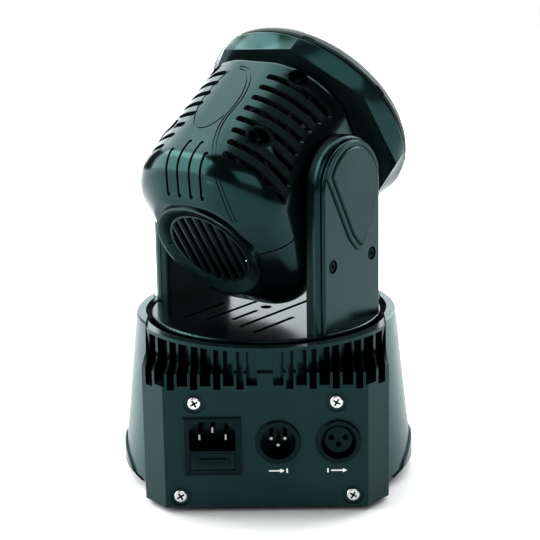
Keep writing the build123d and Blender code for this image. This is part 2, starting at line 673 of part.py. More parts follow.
arm_inner = arm_inner - along_x(arm_outline(2.2, TABLE_TOP + 3), ARM_IN + 2, ARM_SEAM + 1)
for y, z in SCREW_SPOTS:
    arm_outer = arm_outer + rod_x(5.2, ARM_SEAM, ARM_OUT - 1, y, z)
    arm_outer = arm_outer - rod_x(3.7, ARM_OUT - 2.2, ARM_OUT + 2, y, z)
    arm_outer = arm_outer - rod_x(1.5, ARM_SEAM - 1, ARM_OUT, y, z)
    arm_inner = arm_inner + rod_x(5.2, ARM_IN + 1, ARM_SEAM, y, z)
    arm_inner = arm_inner - rod_x(1.5, ARM_IN + 1.5, ARM_SEAM + 1, y, z)
arm_inner = arm_inner - rod_x(TILT_AXLE_R + 0.2, ARM_IN - 1, ARM_IN + 3, 0, PIVOT_Z)

cap_line = [
    ThreePointArc((-CAP_HALF, CAP_CORNER_DZ), (0, CAP_TOP_DZ), (CAP_HALF, CAP_CORNER_DZ)),
    Line((CAP_HALF, CAP_CORNER_DZ), (CAP_TIP_Y + 10, CAP_TIP_DZ + 10)),
    Line((CAP_TIP_Y + 10, CAP_TIP_DZ + 10), (CAP_TIP_Y, CAP_TIP_DZ)),
    ThreePointArc((CAP_TIP_Y, CAP_TIP_DZ), (-CAP_HALF + 4.1, CAP_CORNER_DZ - 25),
                  (-CAP_HALF, CAP_CORNER_DZ))]
pick = make_face(Curve() + cap_line)
pick = fillet(pick.vertices().sort_by(Axis.Y)[1], 14)
pick = fillet(pick.vertices().sort_by(Axis.Y)[0], 5)


def picked(inset, lo, hi, edge):
    outline = offset(pick, -inset) if inset else pick
    shape = Pos(0, 0, PIVOT_Z) * along_x(outline, lo, hi)
    return chamfer(shape.faces().sort_by(Axis.X)[-1].edges(), edge)


cap = picked(0, ARM_OUT, ARM_OUT + CAP_RISE, 0.5)
cap = cap - picked(CAP_RIM_W, ARM_OUT + 0.3, ARM_OUT + 4, 0.1)
cap = cap + picked(CAP_RIM_W + 0.8, ARM_OUT + 0.2, ARM_OUT + 2.0, 0.7)

arm_screws = []
for y, z in SCREW_SPOTS:
    one = Rot(0, 90, 0) * Rot(0, 0, 25) * screw(3.3, 1.8, 1.5, 7.5)
    arm_screws.append(Pos(ARM_OUT - 2.2, y, z) * one)

bracket = box(ARM_IN + 2, ARM_IN + 4, -13, 13, TABLE_TOP + 3, PIVOT_Z + 13)
bracket = bracket + box(ARM_IN + 2, ARM_OUT - 3.5, -13, 13, TABLE_TOP + 3, TABLE_TOP + 5)
for z in (PIVOT_Z - 55, PIVOT_Z - 38, PIVOT_Z - 21):
    bracket = bracket - rod_x(5, 0, 90, 0, z)
bracket = bracket - rod_x(TILT_AXLE_R + SEAT, 0, 90, 0, PIVOT_Z)


def both(piece):
    solids = []
    for one in (piece, mirror_x(piece)):
        solids += (YOKE * one).solids()
    return Compound(solids)


save("arm_left_outer", YOKE * arm_outer)
save("arm_right_outer", YOKE * mirror_x(arm_outer))
save("arm_inner_halves", both(arm_inner))
save("arm_caps", both(cap))
save("arm_brackets", both(bracket))
screws_all = []
for one in arm_screws:
    screws_all += [YOKE * one, YOKE * mirror_x(one)]
save("arm_screws", Compound([s.solids()[0] for s in screws_all]))

tilt_axle = rod_x(TILT_AXLE_R, AXLE_IN, ARM_IN + 6.2, 0, PIVOT_Z)
tilt_axle = tilt_axle + rod_x(TILT_AXLE_R + 3, ARM_IN + 4, ARM_IN + 6, 0, PIVOT_Z)
cable_axle = mirror_x(tilt_axle) - rod_x(TILT_AXLE_R - 2.5, -90, 0, 0, PIVOT_Z)
cable_axle = cable_axle - box(-AXLE_IN - 1.6, 0, -20, 20, PIVOT_Z - 20, PIVOT_Z + 20)
save("tilt_axles", Compound((YOKE * tilt_axle).solids() + (YOKE * cable_axle).solids()))
tilt_wheel = pulley(TILT_PULLEY_R, TILT_AXLE_R + SEAT, PULLEY_X0, PULLEY_X1, 30, 1.0)
TO_X = Rot(0, 90, 0)
save("tilt_fixed_pulley", YOKE * Pos(0, 0, PIVOT_Z) * TO_X * tilt_wheel)


# ---------------------------------------------------------------- head: local axes x, y = -s, z = u
def rod_s(r, s0, s1, x=0.0, u=0.0):
    return rod_y(r, -s1, -s0, x, u)


def box_s(x0, x1, s0, s1, u0, u1):
    return box(x0, x1, -s1, -s0, u0, u1)


def spun_s(points):
    """Solid of revolution about the beam from (r, s) points."""
    return Rot(90, 0, 0) * spun(points)


def head_section(half_w, half_h, corner, s):
    return Plane.XZ.offset(s) * RectangleRounded(2 * half_w, 2 * half_h, corner)


def head_solid(inset):
    """Body of the head, or its inner surface at a constant wall inside it."""
    run = CORNER_S - BODY_REAR
    turn_front = math.atan2(SHOULDER_DROP, BODY_FRONT - SHOULDER_S)
    turn_h = math.atan2(BODY_H_REAR - REAR_H, run)
    turn_w = math.atan2(BODY_W - REAR_W, run)
    corner_s = CORNER_S + inset * math.tan(turn_h / 2)
    shoulder_s = SHOULDER_S - inset * math.tan(turn_front / 2)
    rear_w = REAR_W - inset * math.tan((math.pi / 2 - turn_w) / 2)
    rear_h = REAR_H - inset * math.tan((math.pi / 2 - turn_h) / 2)
    front = BODY_FRONT - inset
    rings = [
        head_section(BODY_W - SHOULDER_DROP - inset, BODY_H_FRONT - SHOULDER_DROP - inset,
                     BODY_ROUND - SHOULDER_DROP - inset, front),
        head_section(BODY_W - inset, BODY_H_FRONT - inset, BODY_ROUND - inset, shoulder_s),
        head_section(BODY_W - inset, BODY_H_REAR - inset, BODY_ROUND - inset, corner_s),
        head_section(rear_w, rear_h, REAR_ROUND - inset / 4, BODY_REAR + inset)]
    body = loft(rings, ruled=True)
    for at, radius in ((corner_s, 15 - inset), (shoulder_s, 4 - inset), (BODY_REAR + inset, 4 - inset / 2)):
        loop = [e for e in body.edges() if abs(e.bounding_box().min.Y + at) < 0.01
                and abs(e.bounding_box().max.Y + at) < 0.01]
        body = fillet(loop, radius)
    return body


def neck(inset, s0, s1):
    half_w = BODY_W - NECK_IN - inset
    half_h = BODY_H_FRONT - NECK_IN - 1.2 - inset
    face = Plane.XZ * RectangleRounded(2 * half_w, 2 * half_h, BODY_ROUND - 2 - inset)
    return Pos(0, -s1, 0) * extrude(face, s1 - s0, dir=(0, 1, 0))


outer_solid = head_solid(0)
inner_solid = head_solid(WALL)
shell = outer_solid + neck(0, BODY_FRONT - 1, BEZEL_REAR) + rod_s(RIM_R, RIM_S, BODY_REAR + 5)
shell = shell - inner_solid - neck(WALL, BODY_FRONT - 6, BEZEL_REAR + 1)
dish = spun_s([(0, RIM_S - 1), (RIM_R - 1.5, RIM_S - 1), (RIM_R - 1.5, RIM_S), (GRILLE_R, -58.2),
               (GRILLE_R, -50), (0, -50)])
shell = shell - dish
shell = shell - rod_x(BUSH_R + SEAT, -60, 60)
half = shell & box(-80, 80, -80, 80, 0.03, 80)

SLOT_W = 3.7
SLOT_S0 = 20.5
SLOT_PITCH = 8.2
slot_tools = []
for k in range(8):
    s = SLOT_S0 - SLOT_PITCH * k
    x0 = 16.0 + max(0, k - 4) * 2.0
    u0 = (31.4, 34.0, 35.3, 35.4, 33.8, 29.7, 27.0, 22.7)[k]
    for sx in (-1, 1):
        xa, xb = (x0, 60) if sx > 0 else (-60, -x0)
        slot_tools.append(box_s(xa, xb, s - SLOT_W / 2, s + SLOT_W / 2, u0, 70))
        slot_tools.append(rod(SLOT_W / 2, u0, 70, sx * x0, -s))
        slot_tools.append(rod_x(SLOT_W / 2, min(xa, xb) if sx < 0 else x0, -x0 if sx < 0 else 60, -s, u0))
for x, s_top, w in ((4.0, -33.0, 1.4), (11.5, -40.0, 1.4)):
    for sx in (-1, 1):
        slot_tools.append(box_s(sx * x - w / 2, sx * x + w / 2, -70, s_top, REAR_H + 4, 70))
        slot_tools.append(rod(1.1, REAR_H + 8, 70, sx * x - 0.5, -s_top))
        slot_tools.append(rod_s(1.1, -70, CORNER_S, sx * x - 0.5, REAR_H + 4.4))
half = half - fuse(slot_tools)

ACCESS_R = 4.8
ACCESS = ((30.0, -18.0, 40.0), (28.8, 27.3, 42.0))
for x, s, u in ACCESS:
    for sx in (-1, 1):
        cup = rod(ACCESS_R + 1.5, u - 3, 70, sx * x, -s) & outer_solid
        half = half + cup - rod(ACCESS_R, u, 70, sx * x, -s) - rod(1.6, 0, 70, sx * x, -s)


def band(points, width, closed=False):
    line = Spline(*[(x, -s) for x, s in points], periodic=closed)
    return trace(line, width)


S_LINE = [(7.5, 25.9), (1.9, 25.0), (-4.1, 19.9), (-7.2, 13.1), (-9.4, -0.6), (-8.6, -11.6), (-9.6, -21.1),
          (-13.7, -31.8), (-20.0, -43.0), (-24.4, -51.0), (-28.2, -56.0), (-31.5, -59.0)]
S_INNER = [(6.5, 23.8), (2.4, 22.9), (-2.0, 18.8), (-5.3, 11.6), (-7.6, -0.7), (-6.9, -12.0), (-8.0, -22.0),
           (-12.1, -33.0), (-18.2, -44.0), (-22.6, -52.0), (-26.4, -57.0), (-29.7, -60.0)]
OVAL = [(12.8, 21.8), (16.0, 12.0), (16.9, 2.5), (15.8, -6.4), (13.1, -13.9), (9.9, -19.5), (6.5, -22.5),
        (2.1, -22.5), (-2.4, -19.0), (-5.6, -11.8)]
skin = head_solid(-0.6) - head_solid(0.45)
marks = []
for pts in (S_LINE, S_INNER, OVAL):
    marks.append(Pos(0, 0, 25) * extrude(band(pts, 0.8), 40, dir=(0, 0, 1)))
marks.append(box(-60, 60, -40, 60, -1, 0.45))
for m in marks:
    half = half - (m & skin)
head_top = half
head_low = mirror(half, Plane.XY)
save("head_shell_top", HEAD * head_top)
save("head_shell_bottom", HEAD * head_low)
head_screws = []
for x, s, u in ACCESS:
    for sx in (-1, 1):
        one = Pos(sx * x, -s, u) * screw(3.6, 2.2, 1.6, 4)
        head_screws += [HEAD * one, HEAD * mirror(one, Plane.XY)]
save("head_screws", Compound([h.solids()[0] for h in head_screws]))

# ---------------------------------------------------------------- head: bezel, ring, optics
def bezel_ring(radius, round_front):
    """Outline with eight sides, straight or arcs of one circle."""
    sides = []
    for k in range(8):
        turns = [math.radians(22.5 + BEZEL_TURN + 45 * k + step) for step in (0, 22.5, 45)]
        first, middle, last = [(radius * math.cos(a), radius * math.sin(a)) for a in turns]
        sides.append(ThreePointArc(first, middle, last) if round_front else Line(first, last))
    return make_face(Curve() + sides)


low = Plane.XZ.offset(BEZEL_REAR) * bezel_ring(BEZEL_R, False)
high = Plane.XZ.offset(BEZEL_FRONT) * bezel_ring(BEZEL_R, True)
bezel = loft([low, high], ruled=True) + rod_s(BEZEL_R, BEZEL_FRONT, BEZEL_FRONT + 0.8)
RING_BACK = BEZEL_FRONT + 0.8
bezel = bezel - rod_s(BEZEL_R - 7.1, BEZEL_REAR + 3, 90) - neck(WALL, BEZEL_REAR - 1, BEZEL_REAR + 4)
save("bezel", HEAD * bezel)

ring_line = [(LENS_PLATE_R + 0.1, RING_BACK)]
for inward, s in ((2.0, RING_BACK), (2.0, RING_BACK + 0.9), (0.2, RING_BACK + 0.9),
                  (0.4, RING_FRONT - 8.6), (2.0, RING_FRONT - 5.4), (4.4, RING_FRONT - 2.4),
                  (7.0, RING_FRONT - 0.6), (9.2, RING_FRONT), (11.2, RING_FRONT - 0.6)):
    ring_line.append((BEZEL_R - inward, s))
ring_line += [(LENS_PLATE_R - 1.8, RING_FRONT - 2.5), (LENS_PLATE_R + 0.1, RING_FRONT - 2.5)]
ring = spun_s(ring_line)
notches = []
for k in range(8):
    notch = Pos(0, 7.5 - RING_FRONT, BEZEL_R + 0.4) * Box(7, 9, 2.6)
    notches.append(Rot(0, 45 * k + 22.5, 0) * notch)
ring = ring - fuse(notches)
save("front_ring", HEAD * ring)

plate = rod_s(LENS_PLATE_R, RING_FRONT - 4.5, RING_FRONT - 2.5)
spots = [(0.0, 0.0)]
for k in range(6):
    a = math.radians(60 * k + 30)
    spots.append((LENS_PITCH * math.cos(a), LENS_PITCH * math.sin(a)))
for x, u in spots:
    plate = plate - rod_s(LENS_R, 0, 90, x, u)
save("lens_plate", HEAD * plate)
lens_back = RING_FRONT - 11.5
lens = spun_s([
    (0, lens_back), (3.6, lens_back), (LENS_R - 0.6, RING_FRONT - 5.2), (LENS_R + 1.4, RING_FRONT - 5.2),
    (LENS_R + 1.4, RING_FRONT - 4.5), (LENS_R - SEAT, RING_FRONT - 4.5),
    (LENS_R - SEAT, RING_FRONT - 2.5), (8.4, RING_FRONT - 1.2), (4.6, RING_FRONT - 0.3), (0, RING_FRONT)])
save("lenses", Compound([(HEAD * Pos(x, 0, u) * lens).solids()[0] for x, u in spots]))

SINK_S = BEZEL_REAR + 3
SINK_R = BEZEL_R - 8.1
sink = rod_s(SINK_R, SINK_S, SINK_S + 3) + rod_s(38, SINK_S - 5, SINK_S)
fins = []
for k in range(-5, 6):
    fins.append(box_s(7 * k - 0.8, 7 * k + 0.8, 12, SINK_S - 4, -50, 50))
sink = sink + (fuse(fins) & rod_s(38, 12, SINK_S))
save("heat_sink", HEAD * sink)
BOARD_S = SINK_S + 3
led_board = rod_s(SINK_R - 3, BOARD_S, BOARD_S + 1.6)
for k in range(4):
    a = math.radians(90 * k + 45)
    led_board = led_board - rod_s(1.7, 0, 90, (SINK_R - 7.5) * math.cos(a), (SINK_R - 7.5) * math.sin(a))
save("led_board", HEAD * led_board)
leds = []
for x, u in spots:
    chip = box_s(x - 2.6, x + 2.6, BOARD_S + 1.6, BOARD_S + 2.2, u - 2.6, u + 2.6)
    chip = chip + rod_s(1.9, BOARD_S + 2.2, BOARD_S + 2.9, x, u) + box_s(
        x - 1.2, x + 1.2, BOARD_S + 2.0, BOARD_S + 2.4, u - 1.2, u + 1.2)
    leds.append((HEAD * chip).solids()[0])
save("leds", Compound(leds))

# ---------------------------------------------------------------- head: fan and grille
grille = rod_s(GRILLE_R - SEAT, FAN_BACK - 1.8, FAN_BACK) - rod_s(GRILLE_R - GRILLE_RING, -90, 0)
slats = []
for k in range(-3, 4):
    bar = Pos(GRILLE_PITCH * k, 0, 0) * Rot(0, 0, 28) * Box(GRILLE_BAR, 1.9, 2 * GRILLE_R)
    slats.append(Pos(0, -(FAN_BACK - 0.9), 0) * bar)
hoop = rod_s(GRILLE_R - GRILLE_RING + 0.2, FAN_BACK - 1.8, FAN_BACK)
grille = grille + (fuse(slats) & hoop)
save("rear_grille", HEAD * grille)

fan_front = FAN_BACK + FAN_T
frame = box_s(-FAN_HALF, FAN_HALF, FAN_BACK, fan_front, -FAN_HALF, FAN_HALF)
frame = fillet(frame.edges().filter_by(Axis.Y), 4)
frame = frame - rod_s(FAN_BORE, FAN_BACK - 1, fan_front + 1)
spider = rod_s(FAN_HUB + 0.5, FAN_BACK, FAN_BACK + 1.6) + rod_s(4, FAN_BACK, FAN_BACK + 4.0)
for a in (45, 135):
    spider = spider + Rot(0, a, 0) * box_s(-FAN_HALF, FAN_HALF, FAN_BACK, FAN_BACK + 1.6, -1.5, 1.5)
frame = frame + (spider & rod_s(FAN_BORE + 0.4, -90, 0)) - rod_s(1.5 + RUN, FAN_BACK + 0.8, 0)
for x in (-FAN_HALF + 5, FAN_HALF - 5):
    for u in (-FAN_HALF + 5, FAN_HALF - 5):
        frame = frame - rod_s(2.1, -90, 0, x, u)
save("fan_frame", HEAD * frame)
rotor = rod_s(FAN_HUB, FAN_BACK + 2.2, fan_front - 0.8) - rod_s(FAN_HUB - 1.5, FAN_BACK + 2, fan_front - 2.6)
rotor = rotor + rod_s(1.5, FAN_BACK + 1.2, fan_front - 1)
blades = []
for k in range(7):
    blade = Pos(0, -(FAN_BACK + 7.2), (FAN_HUB + FAN_BORE) / 2) * Rot(0, 0, 38) * Box(
        15, 1.3, FAN_BORE - FAN_HUB + 1)
    blades.append(Rot(0, 360 / 7 * k, 0) * blade)
sweep = rod_s(FAN_BORE - 0.8, FAN_BACK + 2.4, fan_front - 0.9) - rod_s(FAN_HUB - 0.5, -90, 0)
rotor = rotor + (fuse(blades) & sweep)
save("fan_rotor", HEAD * rotor)

# ---------------------------------------------------------------- head: tilt drive and board
bush = rod_x(BUSH_R, BUSH_IN, BODY_W + 0.2) + rod_x(BUSH_R + 2.5, BUSH_IN, BODY_W - WALL - GAP)
bush = bush - rod_x(TILT_AXLE_R + RUN, 0, 90)
save("tilt_bushings", Compound([(HEAD * bush).solids()[0], (HEAD * mirror_x(bush)).solids()[0]]))

MOTOR_S = -24.0
MOTOR_U = -18.0
at_motor = Pos(0, -MOTOR_S, MOTOR_U)
tilt_motor = stepper(17.5, 27, 9, 2.5, 12)
save("tilt_motor", HEAD * at_motor * Pos(MOUNT_X, 0, 0) * TO_X * tilt_motor)
inside = head_solid(WALL + 0.02)
mount = box_s(MOUNT_X, MOUNT_X + 1.3, MOTOR_S - 18, MOTOR_S + 18, -52, MOTOR_U + 18) & inside
mount = mount - rod_x(9.3, 0, 90, -MOTOR_S, MOTOR_U) - rod_x(9.5, 0, 90)
mount = mount - rod(7.3, -90, -36.5, ACCESS[0][0], -ACCESS[0][1])
save("tilt_motor_bracket", HEAD * mount)
small_wheel = pulley(TILT_MOTOR_PULLEY_R, 0, PULLEY_X0 + 0.2, PULLEY_X1, 12, 1.0)
small_wheel = small_wheel + rod(2.5, MOUNT_X - 12, PULLEY_X0 + 0.5)
save("tilt_motor_pulley", HEAD * at_motor * TO_X * small_wheel)
span = math.hypot(MOTOR_S, MOTOR_U)
loop = belt(TILT_PULLEY_R + GAP, 0, TILT_MOTOR_PULLEY_R + GAP, span, PULLEY_X0 + 0.7,
            PULLEY_X1 - 0.5, 1.1)
turn = math.degrees(math.atan2(MOTOR_U, -MOTOR_S))
save("tilt_belt", HEAD * Rot(turn, 0, 0) * TO_X * loop)

face_x = 1.6 - MOUNT_X - 1.5
driver = box_s(face_x - 1.6, face_x, -38, 3, -33, 33)
chips = [box_s(face_x, face_x + 4.4, -30, -18, -20, -4), box_s(face_x, face_x + 3.4, -12, -2, 8, 22)]
chips += [rod_x(4, face_x, face_x + 8.4, 30, 12), rod_x(4, face_x, face_x + 8.4, 30, 24)]
chips.append(box_s(face_x, face_x + 6.4, -34, -26, -31, -24))
legs = []
for s, u in ((-34, -28), (-34, 28), (-1, -28), (-1, 28)):
    legs.append(rod_x(2.2, -BODY_W, face_x - 1.6, -s, u) & inside)
save("driver_board", HEAD * driver.fuse(*chips, *legs))
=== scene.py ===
import bmesh
import bpy
import json
import math
from mathutils import Matrix, Vector


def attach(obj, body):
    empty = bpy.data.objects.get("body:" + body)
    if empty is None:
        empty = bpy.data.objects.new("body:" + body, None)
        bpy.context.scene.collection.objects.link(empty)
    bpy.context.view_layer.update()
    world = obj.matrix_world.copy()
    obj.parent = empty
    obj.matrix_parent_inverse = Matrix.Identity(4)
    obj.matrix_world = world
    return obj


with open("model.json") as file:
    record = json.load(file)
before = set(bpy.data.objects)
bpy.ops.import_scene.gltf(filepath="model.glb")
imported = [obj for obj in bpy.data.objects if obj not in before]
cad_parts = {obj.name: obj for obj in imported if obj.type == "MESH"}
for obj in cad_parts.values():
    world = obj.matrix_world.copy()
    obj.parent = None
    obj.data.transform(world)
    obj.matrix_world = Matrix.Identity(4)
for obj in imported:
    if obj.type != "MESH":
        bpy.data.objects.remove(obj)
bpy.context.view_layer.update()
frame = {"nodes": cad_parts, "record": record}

MM = 1000                # millimetres in a metre

# ---------------------------------------------------------------- materials
EDGE_SPAN = (0.56, 0.68)     # Pointiness from a flat face to a sharp outer edge
EDGE_AMOUNT = 0.5            # how far a sharp edge takes on the lighter colour, a painted highlight
RECESS_SPAN = (0.495, 0.45)  # Pointiness from a flat face to the bottom of a recess, where shade is painted
PATCHES = (0.3, 0.7)         # noise values of the dark and the light colour
COAT_ROUGH = 0.12

BLACK = (0.001, 0.0032, 0.0032)
DEEP = (0.0006, 0.0012, 0.0012)
MID = (0.002, 0.0066, 0.0066)
# lighter colour painted on sharp outer edges as a highlight
EDGE_HIGHLIGHT = (0.045, 0.08, 0.077)
TEAL = (0.42, 0.95, 0.93)


def noise(tree, scale, detail, stretch=None):
    """Noise in the object's own metres."""
    where = tree.nodes.new("ShaderNodeTexCoord").outputs["Object"]
    if stretch:
        shift = tree.nodes.new("ShaderNodeMapping")
        shift.inputs["Scale"].default_value = stretch
        tree.links.new(where, shift.inputs["Vector"])
        where = shift.outputs["Vector"]
    tex = tree.nodes.new("ShaderNodeTexNoise")
    tex.inputs["Scale"].default_value = scale
    tex.inputs["Detail"].default_value = detail
    tree.links.new(where, tex.inputs["Vector"])
    return tex.outputs["Fac"]


def ramp(tree, value, dark, light):
    """Colour between dark and light by a value."""
    node = tree.nodes.new("ShaderNodeValToRGB")
    tree.links.new(value, node.inputs["Fac"])
    for element, place, colour in zip(node.color_ramp.elements, PATCHES, (dark, light)):
        element.position = place
        element.color = (*colour, 1)
    return node.outputs["Color"]


def remap(tree, value, given=(0, 1), wanted=(0, 1)):
    """The value's given range brought to the wanted one, with the ends held."""
    node = tree.nodes.new("ShaderNodeMapRange")
    node.inputs["From Min"].default_value, node.inputs["From Max"].default_value = given
    node.inputs["To Min"].default_value, node.inputs["To Max"].default_value = wanted
    tree.links.new(value, node.inputs["Value"])
    return node.outputs["Result"]


def blend(tree, share, plain, other):
    """The plain colour, and by its share the other one."""
    node = tree.nodes.new("ShaderNodeMix")
    node.data_type = "RGBA"
    tree.links.new(share, node.inputs["Factor"])
    tree.links.new(plain, node.inputs["A"])
    node.inputs["B"].default_value = (*other, 1)
    return node.outputs["Result"]


def pointiness(tree):
    return tree.nodes.new("ShaderNodeNewGeometry").outputs["Pointiness"]


def painted_edge_highlight(tree, colour, edge):
    """Painted highlight: blend towards a lighter colour on sharp outer edges."""
    return blend(tree, remap(tree, pointiness(tree), EDGE_SPAN, (0, EDGE_AMOUNT)), colour, edge)


def painted_recess_shade(tree, colour, deep):
    """Painted shade: blend towards a darker colour in the bottoms of recesses."""
    return blend(tree, remap(tree, pointiness(tree), RECESS_SPAN), colour, deep)


def painted_depth_shade(tree, colour, plain_at, deep_at):
    """Painted shade: blend towards the deep colour as the object's Y falls from plain_at to
    deep_at, in mm.
    """
    split = tree.nodes.new("ShaderNodeSeparateXYZ")
    tree.links.new(tree.nodes.new("ShaderNodeTexCoord").outputs["Object"], split.inputs["Vector"])
    span = (plain_at / MM, deep_at / MM)
    return blend(tree, remap(tree, split.outputs["Y"], span), colour, DEEP)


def surface(name, dark, light, rough, metal=0.0, grain=2600.0, depth=0.02, edge=None,
            coat=0.0, patch=34.0, stretch=None, clear=0.0, ior=1.5, tint=(1, 1, 1), level=0.5,
            deep=None, painted_shade_y=None):
    """Colour wanders between dark and light; roughness between the two values of rough.

    The fine grain is a bump, depth mm deep. Sharp edges go to the colour edge as a painted
    highlight, recesses to deep as painted shade; a span of Y in mm darkens towards the lower Y as
    painted shade.
    """
    mat = bpy.data.materials.new(name)
    mat.use_nodes = True
    tree = mat.node_tree
    tree.nodes.clear()
    out = tree.nodes.new("ShaderNodeOutputMaterial")
    shader = tree.nodes.new("ShaderNodeBsdfPrincipled")
    tree.links.new(shader.outputs["BSDF"], out.inputs["Surface"])

    colour = ramp(tree, noise(tree, patch, 4.0), dark, light)
    # painted highlight on sharp outer edges
    if edge:
        colour = painted_edge_highlight(tree, colour, edge)
    # painted shade in the bottoms of recesses
    if deep:
        colour = painted_recess_shade(tree, colour, deep)
    # painted shade towards a lower Y
    if painted_shade_y:
        colour = painted_depth_shade(tree, colour, *painted_shade_y)
    tree.links.new(colour, shader.inputs["Base Color"])

    gloss = remap(tree, noise(tree, patch * 5, 3.0), wanted=rough)
    tree.links.new(gloss, shader.inputs["Roughness"])

    bump = tree.nodes.new("ShaderNodeBump")
    bump.inputs["Strength"].default_value = 1.0
    bump.inputs["Distance"].default_value = depth / MM
    tree.links.new(noise(tree, grain, 2.0, stretch), bump.inputs["Height"])
    tree.links.new(bump.outputs["Normal"], shader.inputs["Normal"])

    shader.inputs["Metallic"].default_value = metal
    shader.inputs["Coat Weight"].default_value = coat
    shader.inputs["Coat Roughness"].default_value = COAT_ROUGH
    shader.inputs["Transmission Weight"].default_value = clear
    shader.inputs["IOR"].default_value = ior
    shader.inputs["Specular Tint"].default_value = (*tint, 1)
    shader.inputs["Specular IOR Level"].default_value = level
    return mat


# edge colours here and in OWN below are painted highlights on sharp outer edges
SLOTS = {
    "housing": surface("housing", BLACK, MID, (0.17, 0.26), edge=EDGE_HIGHLIGHT, depth=0.01, tint=TEAL,
                       level=0.58),
    "cover": surface("cover", (0.014, 0.032, 0.031), (0.02, 0.042, 0.04), (0.26, 0.36),
                     edge=EDGE_HIGHLIGHT, depth=0.012, tint=TEAL, level=0.8),
    "trim": surface("trim", DEEP, BLACK, (0.16, 0.28), edge=EDGE_HIGHLIGHT, depth=0.01, tint=TEAL),
    "feet": surface("feet", (0.01, 0.01, 0.01), (0.018, 0.018, 0.018), (0.7, 0.85),
                    grain=1200, depth=0.06),
    "panel": surface("panel", (0.008, 0.02, 0.0195), (0.012, 0.028, 0.0265), (0.4, 0.52),
                     grain=1500, depth=0.03, tint=TEAL),
    "socket": surface("socket", (0.001, 0.0024, 0.0025), (0.0018, 0.0044, 0.0045), (0.16, 0.28),
                      depth=0.01, edge=(0.03, 0.05, 0.05), tint=TEAL, level=0.3),
    # deep colours the screws' recesses with painted shade
    "zinc": surface("zinc", (0.5, 0.52, 0.51), (0.72, 0.74, 0.73), (0.22, 0.36), metal=1.0,
                    grain=900, deep=(0.004, 0.004, 0.004)),
    "black_screw": surface("black_screw", DEEP, BLACK, (0.3, 0.45), metal=0.6, edge=EDGE_HIGHLIGHT,
                           tint=TEAL),
    # the pins darken towards a lower Y, painted shade inside their socket
    "pin_metal": surface("pin_metal", (0.62, 0.62, 0.6), (0.78, 0.78, 0.75), (0.2, 0.32),
                         metal=0.85, grain=1200, painted_shade_y=(74.5, 73.7)),
    "window": surface("window", (0.004, 0.005, 0.008), (0.006, 0.007, 0.012), (0.05, 0.1),
                      coat=0.6, tint=TEAL),
    "button": surface("button", (0.02, 0.024, 0.024), (0.03, 0.034, 0.034), (0.45, 0.6),
                      edge=EDGE_HIGHLIGHT, tint=TEAL),
    "board": surface("board", (0.002, 0.012, 0.006), (0.003, 0.02, 0.009), (0.4, 0.55),
                     patch=160, level=0.25),
    "component": surface("component", (0.006, 0.006, 0.006), (0.02, 0.017, 0.012), (0.45, 0.6),
                         patch=60),
    "steel": surface("steel", (0.35, 0.36, 0.37), (0.55, 0.56, 0.57), (0.28, 0.42), metal=1.0,
                     grain=500, stretch=(1, 12, 1)),
    "motor": surface("motor", (0.01, 0.01, 0.012), (0.02, 0.02, 0.024), (0.35, 0.5), metal=0.3),
    "belt": surface("belt", (0.01, 0.01, 0.01), (0.02, 0.02, 0.02), (0.65, 0.8), grain=900),
    "pulley": surface("pulley", (0.6, 0.59, 0.54), (0.75, 0.74, 0.7), (0.4, 0.55)),
    "arm": surface("arm", BLACK, MID, (0.2, 0.3), edge=EDGE_HIGHLIGHT, depth=0.012, tint=TEAL, level=0.65),
    "cap": surface("cap", (0.008, 0.02, 0.019), (0.014, 0.032, 0.03), (0.3, 0.4), edge=EDGE_HIGHLIGHT,
                   depth=0.012, tint=TEAL),
    "shell": surface("shell", BLACK, MID, (0.13, 0.21), edge=EDGE_HIGHLIGHT, depth=0.012, tint=TEAL,
                     level=0.65),
    "grille": surface("grille", DEEP, BLACK, (0.35, 0.5), edge=EDGE_HIGHLIGHT, tint=TEAL),
    "bush": surface("bush", (0.02, 0.02, 0.02), (0.04, 0.04, 0.04), (0.4, 0.55)),
    "fan": surface("fan", (0.0008, 0.001, 0.001), (0.0016, 0.002, 0.002), (0.45, 0.6),
                   level=0.15),
    "lens": surface("lens", (0.9, 0.95, 0.97), (0.95, 0.98, 1.0), (0.02, 0.06), clear=0.9,
                    ior=1.49),
    "sink": surface("sink", (0.45, 0.46, 0.47), (0.6, 0.61, 0.62), (0.3, 0.45), metal=1.0,
                    grain=700, stretch=(1, 1, 10)),
    "led_board": surface("led_board", (0.7, 0.7, 0.66), (0.82, 0.82, 0.8), (0.4, 0.5)),
    "led": surface("led", (0.75, 0.6, 0.12), (0.9, 0.75, 0.25), (0.3, 0.4), patch=300),
}

# nodes that don't look like the rest of their slot
OWN = {
    "bezel": surface("bezel", (0.009, 0.023, 0.022), (0.013, 0.031, 0.029), (0.17, 0.26),
                     edge=EDGE_HIGHLIGHT, tint=TEAL, level=0.58),
    "front_ring": surface("ring", BLACK, MID, (0.36, 0.5), edge=EDGE_HIGHLIGHT, tint=TEAL, level=0.3),
    # a darker, duller copy of the arm material for the arms' inner halves, as painted shade
    "arm_inner_halves": surface("arm_inside_shaded", DEEP, BLACK, (0.34, 0.46), edge=EDGE_HIGHLIGHT, tint=TEAL,
                                level=0.3),
}

# ---------------------------------------------------------------- solids of the CAD
# rounding of the edges by slot, in mm; a lens has none
EDGE_R = {"led": 0.1, "pin_metal": 0.1, "zinc": 0.1, "lens": 0.0, "housing": 0.55, "shell": 0.5}
PLAIN_EDGE_R = 0.35
EDGE_ANGLE = math.radians(32)

